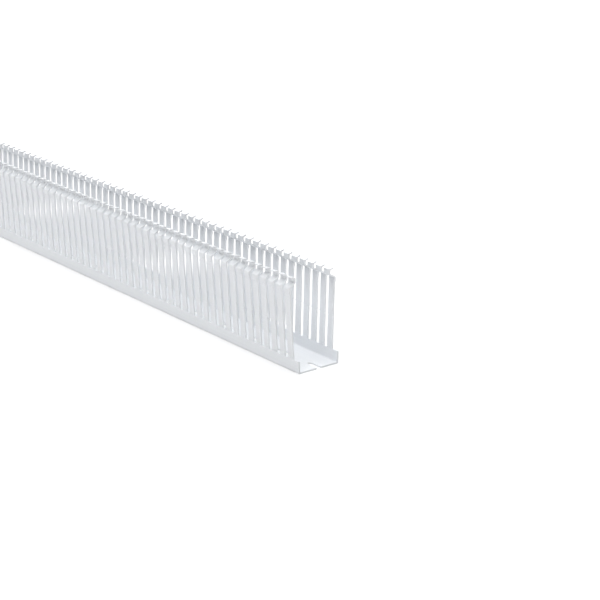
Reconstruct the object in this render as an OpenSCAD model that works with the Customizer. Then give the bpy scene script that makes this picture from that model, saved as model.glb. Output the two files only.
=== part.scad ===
// Slotted wiring duct: a rigid plastic trough whose two side walls are combs of fingers.
// One extruded and punched piece, open at the top and at both ends. The duct runs along X,
// Z is up, and the origin is on the underside at the middle of the length and of the width.

/* [Length] */
// Length of the cut piece
duct_length = 1000; // [500:50:1000]
// Distance from the +X end of the duct to the first finger
end_offset = 8.5; // [6:0.5:11]

/* [Section] */
// Width across the outside of the base
base_width = 48; // [40:0.5:60]
// Height from the underside to the top of the lips
duct_height = 96; // [85:1:110]
// Thickness of the base
base_thickness = 1.6; // [1.4:0.1:2.2]
// Thickness of the side walls
wall_thickness = 1.5; // [1.4:0.1:1.8]
// Lean of each side wall away from upright, in degrees
wall_lean = 2.6; // [0:0.1:3.5]
// Radius of the outer corners between base and walls
corner_radius = 1.2; // [0.6:0.1:1.4]
// Radius of the fillets along the floor inside the walls
floor_fillet = 0.8; // [0.4:0.1:1]

/* [Cover groove] */
// Rise of the shoulder that steps the wall inwards
shoulder_rise = 4.1; // [3.5:0.1:5]
// Distance from the outer face to the outer side of the neck
neck_inset = 6.3; // [5.5:0.1:7]
// Thickness of the neck
neck_thickness = 1.7; // [1.4:0.1:1.8]
// Height of the neck from the shoulder to the lip
neck_rise = 3.6; // [3:0.1:4]
// Distance that the lip reaches outwards from the neck
lip_reach = 3.6; // [3:0.1:4]
// Rise of the lip over that distance
lip_rise = 1.2; // [0.8:0.1:1.8]
// Thickness of the lip
lip_thickness = 1.4; // [1.2:0.1:1.6]
// Radius of the rounded outer edge of the shoulder
shoulder_radius = 1.5; // [1:0.1:2]
// Radius of the fillet between shoulder and neck
neck_fillet = 1; // [0.5:0.1:1.2]
// Distance that the bead below the shoulder stands out from the wall
bead_reach = 0.6; // [0.4:0.1:1]
// Height of the bead below the shoulder
bead_height = 4.6; // [3.5:0.1:6]

/* [Fingers] */
// Distance from one finger to the next
finger_pitch = 13; // [12:0.1:14]
// Width of a finger
finger_width = 8; // [7:0.1:8]
// Height of the unslotted strip at the foot of the walls
strip_height = 12.8; // [10:0.1:16]
// Distance that a barb stands out from the side of a finger
barb_reach = 0.8; // [0.3:0.1:1]
// Depth of the notch below a barb
notch_depth = 0.7; // [0.3:0.1:0.8]
// Height of the barbs at the middle of a finger
barb_height = 47; // [40:1:55]
// Depth of the break-off grooves across the foot of the fingers
groove_depth = 0.35; // [0.2:0.05:0.4]

/* [Mounting slots] */
// Width of a mounting slot in the base
mount_width = 5.5; // [4.5:0.1:6]
// Length of a mounting slot over its round ends
mount_length = 20; // [18:1:25]
// Distance from one mounting slot to the next
mount_pitch = 50; // [40:5:100]
// Distance that the slot cut open by the +X end reaches into the base
mount_reach = 16; // [12:1:17]

/* [Hidden] */
$fn = 48;
pvc = "#e9ebee";
past = 1;
x_end = duct_length / 2;

// The lip, from the outer face of the neck to the round tip
tip_radius = lip_thickness / 2;
lip_slope = lip_rise / lip_reach;
lip_angle = atan(lip_slope);
lip_length = lip_reach / cos(lip_angle) - tip_radius;

// Heights on the upright wall, from the lip down to the bead
lip_z = duct_height - lip_length * sin(lip_angle) - tip_radius * (1 + cos(lip_angle));
neck_z = lip_z - neck_rise;
shoulder_z = neck_z - shoulder_rise;
bead_z = shoulder_z - bead_height;
bead_chamfer = 1;
neck_inner = neck_inset + neck_thickness;

// The shoulder's slope, and how far below its outer side its inner side lies
shoulder_slope = shoulder_rise / (neck_inset + bead_reach);
shoulder_stretch = sqrt(1 + shoulder_slope * shoulder_slope);
shoulder_drop = wall_thickness * shoulder_stretch;
shoulder_turn = 90 - atan(shoulder_slope);

// Gaps between fingers
gap_width = finger_pitch - finger_width;
finger_count = floor((duct_length - end_offset - finger_width) / finger_pitch) + 1;
barb_rise = 2.5;
notch_ledge = 0.8;
notch_rise = 1.2;
groove_z = strip_height + 1.5;

mount_count = ceil(duct_length / mount_pitch) + 1;

// Points along an arc, for the rounded edges of the section
function arc(centre, radius, from, to, steps) = [
    for (i = [0:steps])
        let (angle = from + (to - from) * i / steps)
            [centre[0] + radius * cos(angle), centre[1] + radius * sin(angle)]
];

// Section of one wall standing upright, its outer face at 0 and its inside towards minus
module wall_section() {
    bead = [[0, bead_z - bead_chamfer], [bead_reach, bead_z]];
    edge_centre = [
        bead_reach - shoulder_radius,
        shoulder_z - shoulder_radius * tan(shoulder_turn / 2)
    ];
    edge = arc(edge_centre, shoulder_radius, 0, shoulder_turn, 3);
    fillet_centre = [
        neck_fillet - neck_inset,
        neck_z + neck_fillet * (shoulder_stretch - shoulder_slope)
    ];
    fillet = arc(fillet_centre, neck_fillet, 180 + shoulder_turn, 180, 2);
    tip_centre = [
        lip_length * cos(lip_angle) - tip_radius * sin(lip_angle) - neck_inset,
        lip_z + lip_length * sin(lip_angle) + tip_radius * cos(lip_angle)
    ];
    tip = arc(tip_centre, tip_radius, lip_angle - 90, lip_angle + 90, 4);
    inside = [
        [-neck_inner, lip_z + lip_thickness / cos(lip_angle) - lip_slope * neck_thickness],
        [-neck_inner, shoulder_z + (neck_inner + bead_reach) * shoulder_slope - shoulder_drop],
        [-wall_thickness, shoulder_z + (wall_thickness + bead_reach) * shoulder_slope - shoulder_drop],
        [-wall_thickness, 0]
    ];
    polygon(concat([[0, 0]], bead, edge, fillet, [[-neck_inset, lip_z]], tip, inside));
}

// Break-off groove, a shallow notch of square section turned on its corner
module break_groove(y) {
    translate([y, groove_z])
        rotate(45)
            square(groove_depth * sqrt(2), center = true);
}

// One wall in its place, leaning outwards about the outer edge of the base
module leaning_wall_section() {
    translate([base_width / 2, 0])
        rotate(-wall_lean)
            difference() {
                wall_section();
                break_groove(0);
                break_groove(-wall_thickness);
            }
}

// What is cut away to round the outer corner between the base and a wall
module corner_waste() {
    difference() {
        translate([base_width / 2 - corner_radius, -past])
            square([corner_radius + past, corner_radius + past]);
        translate([base_width / 2 - corner_radius, corner_radius])
            circle(corner_radius);
    }
}

// Fillet between the floor and the inside of a wall
module floor_fillet_section() {
    corner = base_width / 2 - wall_thickness;
    difference() {
        translate([corner - floor_fillet, base_thickness - floor_fillet])
            square([2 * floor_fillet, 2 * floor_fillet]);
        translate([corner - floor_fillet, base_thickness + floor_fillet])
            circle(floor_fillet);
    }
}

// Half of the whole section: half of the base with one wall
module half_section() {
    difference() {
        union() {
            square([base_width / 2, base_thickness]);
            leaning_wall_section();
            floor_fillet_section();
        }
        corner_waste();
    }
}

module trough() {
    rotate([90, 0, 90])
        linear_extrude(duct_length, center = true)
            union() {
                half_section();
                mirror([1, 0])
                    half_section();
            }
}

// Half outline of a barb and of the notch below it, as seen from within the gap
function barb(z) = [
    [gap_width / 2, z - notch_ledge - notch_rise],
    [gap_width / 2 + notch_depth, z - notch_ledge],
    [gap_width / 2 - barb_reach, z],
    [gap_width / 2, z + barb_rise]
];

// One gap between two fingers, square at its foot and open at the top
module finger_gap() {
    half = concat(
        [[gap_width / 2, strip_height]],
        barb(barb_height),
        [[gap_width / 2, duct_height + past]]
    );
    last = len(half) - 1;
    other_half = [for (i = [last:-1:0]) [-half[i][0], half[i][1]]];
    rotate([90, 0, 0])
        linear_extrude(2 * base_width, center = true)
            polygon(concat(half, other_half));
}

// The row of gaps on both sides of every finger, and the stretch without fingers at each end
module finger_gaps() {
    first_gap = x_end - end_offset + gap_width / 2;
    last_gap = first_gap - finger_count * finger_pitch;
    for (i = [0:finger_count])
        translate([first_gap - i * finger_pitch, 0, 0])
            finger_gap();
    bare_end(first_gap, x_end + past);
    bare_end(-x_end - past, last_gap);
}

// Clears the walls down to the strip between two places along the duct
module bare_end(x_from, x_to) {
    translate([x_from, -base_width, strip_height])
        cube([x_to - x_from, 2 * base_width, duct_height]);
}

module mounting_slot() {
    straight = mount_length - mount_width;
    depth = base_thickness + 2 * past;
    translate([0, 0, -past]) {
        translate([-straight / 2, -mount_width / 2, 0])
            cube([straight, mount_width, depth]);
        for (side = [-1, 1])
            translate([side * straight / 2, 0, 0])
                cylinder(d = mount_width, h = depth);
    }
}

// The row of mounting slots along the middle of the base; each end of the duct cuts one open
module mounting_slots() {
    first_slot = x_end - mount_reach + mount_length / 2;
    for (i = [0:mount_count - 1])
        translate([first_slot - i * mount_pitch, 0, 0])
            mounting_slot();
}

module duct() {
    color(pvc)
        difference() {
            trough();
            finger_gaps();
            mounting_slots();
        }
}

duct();
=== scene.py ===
# %% [markdown]
# # Slotted wiring duct
# A wiring duct is a plastic trough that carries wires through a switch cabinet. Its two side
# walls are combs of fingers, so that a wire can leave it anywhere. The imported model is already
# the right shape, because extrusion and punching are exact work. What is left for this lesson
# is the finish of the plastic and the light that it is seen in.

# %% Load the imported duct
import math
import bpy
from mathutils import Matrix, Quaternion, Vector


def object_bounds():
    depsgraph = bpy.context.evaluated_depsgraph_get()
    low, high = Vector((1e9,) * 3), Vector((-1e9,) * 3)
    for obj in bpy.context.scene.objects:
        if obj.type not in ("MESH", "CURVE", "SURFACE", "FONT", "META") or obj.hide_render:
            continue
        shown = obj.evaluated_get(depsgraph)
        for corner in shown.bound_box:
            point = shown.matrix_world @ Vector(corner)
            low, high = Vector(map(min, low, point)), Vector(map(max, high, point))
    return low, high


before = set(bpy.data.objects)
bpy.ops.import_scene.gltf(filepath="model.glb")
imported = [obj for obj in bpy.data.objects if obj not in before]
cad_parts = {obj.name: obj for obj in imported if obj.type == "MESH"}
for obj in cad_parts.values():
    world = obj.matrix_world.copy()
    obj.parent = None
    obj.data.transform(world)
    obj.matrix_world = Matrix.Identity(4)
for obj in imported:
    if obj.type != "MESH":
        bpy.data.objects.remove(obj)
cad_low, cad_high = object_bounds()
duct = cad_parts["duct"]
bpy.ops.object.select_all(action="DESELECT")
print("duct box in mm:", [round(1000 * side) for side in cad_high - cad_low])

# %% [markdown]
# ## Camera
# The duct is seen from in front and above, with one open end close to the camera and the other
# out of view. A long lens from almost two metres away keeps the rows of fingers nearly
# parallel. The camera's place is given as a turn and a rise around a point near the close end,
# because those are easier to adjust by hand than three coordinates.

# %% Place the camera
AIM_FROM_END = Vector((-0.1307, 0.0772, 0.0194))
CAMERA_AZIMUTH = math.radians(52.87)
CAMERA_ELEVATION = math.radians(18.80)
CAMERA_ROLL = math.radians(-0.75)
CAMERA_DISTANCE = 1.937
LENS = 111.4

near_end = Vector((cad_high.x, 0, 0))
aim = near_end + AIM_FROM_END
back = Vector((
    math.sin(CAMERA_AZIMUTH) * math.cos(CAMERA_ELEVATION),
    -math.cos(CAMERA_AZIMUTH) * math.cos(CAMERA_ELEVATION),
    math.sin(CAMERA_ELEVATION),
))
bpy.ops.object.camera_add(location=aim + CAMERA_DISTANCE * back)
camera = bpy.context.object
camera.name = "camera"
camera.rotation_mode = "QUATERNION"
level_view = (-back).to_track_quat("-Z", "Y")
camera.rotation_quaternion = level_view @ Quaternion((0, 0, 1), CAMERA_ROLL)
camera.data.lens = LENS
bpy.context.scene.camera = camera
print("camera at", [round(x, 3) for x in camera.location])

# %% [markdown]
# ## Nodes in one line
# A material is a small graph of nodes. These helpers add a node, set its inputs by name, and
# join them when an input is another node's output, so that each finish below reads as a recipe.

# %% Helpers for material nodes
def node(tree, kind, inputs=None, **settings):
    made = tree.nodes.new(kind)
    for name, value in settings.items():
        setattr(made, name, value)
    for name, value in (inputs or {}).items():
        if isinstance(value, bpy.types.NodeSocket):
            tree.links.new(value, made.inputs[name])
        else:
            made.inputs[name].default_value = value
    return made


def maths(tree, operation, *values):
    return node(tree, "ShaderNodeMath", dict(enumerate(values)), operation=operation).outputs[0]


def ramp(tree, value, low, high, to_low=0.0, to_high=1.0):
    inputs = {"Value": value, "From Min": low, "From Max": high}
    inputs.update({"To Min": to_low, "To Max": to_high})
    return node(tree, "ShaderNodeMapRange", inputs).outputs[0]


def noise(tree, place, stretch, scale, detail):
    moved = node(tree, "ShaderNodeMapping", {"Vector": place, "Scale": stretch})
    inputs = {"Vector": moved.outputs[0], "Scale": scale, "Detail": detail}
    return node(tree, "ShaderNodeTexNoise", inputs).outputs["Fac"]


def tint(tree, factor, colour, other):
    mixed = node(tree, "ShaderNodeMix", {"Factor": factor}, data_type="RGBA")
    for name, value in (("A", colour), ("B", other)):
        socket = [s for s in mixed.inputs if s.name == name and s.type == "RGBA"][0]
        if isinstance(value, bpy.types.NodeSocket):
            tree.links.new(value, socket)
        else:
            socket.default_value = (*value, 1)
    return [s for s in mixed.outputs if s.type == "RGBA"][0]


# %% [markdown]
# ## The plastic
# The duct is rigid PVC, coloured white all through. Three tools leave three surfaces on it.
# The extrusion die draws faint lines along the length. The punch that cuts the gaps leaves a
# face that is a touch paler, less glossy and slightly ragged. The two sawn ends are coloured
# greyer, and that grey is painted shade: it stands in for the shade the end faces lie in. The
# faces are told apart by where they look and where they lie, so the model needs no painting by
# hand: a face that looks along the duct is punched, and one that lies at the very end of it is
# sawn and gets the painted shade. A fine grain covers all three.

# %% Make the plastic
WHITE = (0.84, 0.86, 0.885)
STREAK = (0.82, 0.84, 0.868)
PUNCHED = (0.86, 0.875, 0.895)
# painted shade: the sawn end faces are coloured greyer to stand in for the shade they lie in
PAINTED_END_SHADE = (0.74, 0.76, 0.78)
PVC_IOR = 1.53

LOOKS_ALONG = (0.25, 0.5)
PAINTED_SHADE_DEPTH = 0.00015

DIE_STRETCH = (0.6, 40, 40)
SHEAR_STRETCH = (60, 8, 60)
LINE_SCALE = 24
GRAIN_SCALE = 900
CLOUD_STRETCH = (0.5, 1, 1)
CLOUD_SCALE = 9
CLOUD_RANGE = (0.4, 0.8)
CLOUD_SHARE = 0.4
STREAK_RANGE = (0.35, 0.7)

SATIN_RANGE = (0.3, 0.7)
SATIN = (0.36, 0.46)
PUNCHED_ROUGHER = 0.2

DIE_RELIEF = 0.7
GRAIN_RELIEF = 0.25
TORN_RELIEF = 2.5
RELIEF_STRENGTH = 0.35
RELIEF_HEIGHT = 0.00006


def pvc():
    material = bpy.data.materials.new("white_pvc")
    material.use_nodes = True
    tree = material.node_tree
    surface = tree.nodes["Principled BSDF"]
    place = node(tree, "ShaderNodeTexCoord").outputs["Object"]
    spot = node(tree, "ShaderNodeSeparateXYZ", {0: place})
    facing = node(tree, "ShaderNodeNewGeometry").outputs["True Normal"]
    along = maths(tree, "ABSOLUTE", node(tree, "ShaderNodeSeparateXYZ", {0: facing}).outputs["X"])
    cut = ramp(tree, along, *LOOKS_ALONG)
    reach = maths(tree, "ABSOLUTE", spot.outputs["X"])
    # the thin band at each end of the duct that gets the painted shade
    end = ramp(tree, reach, cad_high.x - 2 * PAINTED_SHADE_DEPTH, cad_high.x - PAINTED_SHADE_DEPTH)

    die_lines = noise(tree, place, DIE_STRETCH, LINE_SCALE, detail=4)
    shear_lines = noise(tree, place, SHEAR_STRETCH, LINE_SCALE, detail=3)
    grain = noise(tree, place, (1, 1, 1), GRAIN_SCALE, detail=3)
    clouds = noise(tree, place, CLOUD_STRETCH, CLOUD_SCALE, detail=2)

    drawn = tint(tree, ramp(tree, die_lines, *STREAK_RANGE), WHITE, STREAK)
    drawn = tint(tree, ramp(tree, clouds, *CLOUD_RANGE, 0, CLOUD_SHARE), drawn, STREAK)
    colour = tint(tree, cut, drawn, PUNCHED)
    # painted shade: greyer colour on the sawn end faces
    colour = tint(tree, end, colour, PAINTED_END_SHADE)
    tree.links.new(colour, surface.inputs["Base Color"])

    satin = ramp(tree, die_lines, *SATIN_RANGE, *SATIN)
    rough = maths(tree, "ADD", satin, maths(tree, "MULTIPLY", cut, PUNCHED_ROUGHER))
    tree.links.new(rough, surface.inputs["Roughness"])

    relief = maths(tree, "MULTIPLY", die_lines, DIE_RELIEF)
    relief = maths(tree, "ADD", relief, maths(tree, "MULTIPLY", grain, GRAIN_RELIEF))
    torn = maths(tree, "MULTIPLY", shear_lines, TORN_RELIEF)
    height = maths(tree, "ADD", relief, maths(tree, "MULTIPLY", torn, cut))
    inputs = {"Height": height, "Strength": RELIEF_STRENGTH, "Distance": RELIEF_HEIGHT}
    bump = node(tree, "ShaderNodeBump", inputs)
    tree.links.new(bump.outputs[0], surface.inputs["Normal"])
    surface.inputs["IOR"].default_value = PVC_IOR
    return material


duct.data.materials.clear()
duct.data.materials.append(pvc())
print("finish on", duct.name, "with", len(duct.data.polygons), "faces")

# %% [markdown]
# ## Floor and light
# A white thing on a white ground needs light from all round and a floor that is lit to just
# about white, while the plastic stays a shade darker. Two wide, soft lamps from
# above and in front give the level faces more light than the upright ones. Three low ones, to
# the right and behind, reach the cut faces and the far side. They are kept weak, because a
# strong lamp behind would burn the back of the duct out to plain white. The backdrop is white
# to the eye and gives no light of its own, so the lamps alone decide the shades.

# %% Make the floor and the lights
FLOOR_RADIUS = 20
FLOOR_WHITE = (0.95, 0.95, 0.95, 1)
LAMP_SOFTNESS = math.radians(40)


def studio_floor():
    bpy.ops.mesh.primitive_circle_add(vertices=96, radius=FLOOR_RADIUS, fill_type="NGON")
    floor = bpy.context.object
    floor.name = "floor"
    paper = bpy.data.materials.new("white_paper")
    paper.use_nodes = True
    tree = paper.node_tree
    surface = tree.nodes["Principled BSDF"]
    surface.inputs["Base Color"].default_value = FLOOR_WHITE
    surface.inputs["Roughness"].default_value = 0.9
    surface.inputs["Specular IOR Level"].default_value = 0.1
    floor.data.materials.append(paper)


def soft_lamp(name, azimuth, elevation, strength):
    bpy.ops.object.light_add(type="SUN")
    lamp = bpy.context.object
    lamp.name = name
    a, e = math.radians(azimuth), math.radians(elevation)
    towards = Vector((math.sin(a) * math.cos(e), -math.cos(a) * math.cos(e), math.sin(e)))
    lamp.rotation_mode = "QUATERNION"
    lamp.rotation_quaternion = (-towards).to_track_quat("-Z", "Y")
    lamp.data.energy = strength
    lamp.data.angle = LAMP_SOFTNESS


def backdrop():
    world = bpy.data.worlds.new("studio")
    bpy.context.scene.world = world
    world.use_nodes = True
    tree = world.node_tree
    dark = tree.nodes["Background"]
    dark.inputs["Strength"].default_value = 0
    paper = node(tree, "ShaderNodeBackground", {"Color": (1, 1, 1, 1)})
    seen = node(tree, "ShaderNodeLightPath").outputs["Is Camera Ray"]
    mixed = node(tree, "ShaderNodeMixShader", {0: seen, 1: dark.outputs[0], 2: paper.outputs[0]})
    tree.links.new(mixed.outputs[0], tree.nodes["World Output"].inputs["Surface"])


studio_floor()
soft_lamp("top", 0, 90, 1.55)
soft_lamp("front", 0, 63, 1.34)
soft_lamp("right", 60, 25, 0.47)
soft_lamp("back", 180, 45, 0.62)
soft_lamp("back left", -120, 30, 1.10)
backdrop()
bpy.context.scene.view_settings.view_transform = "Standard"
print("floor and five lamps set")
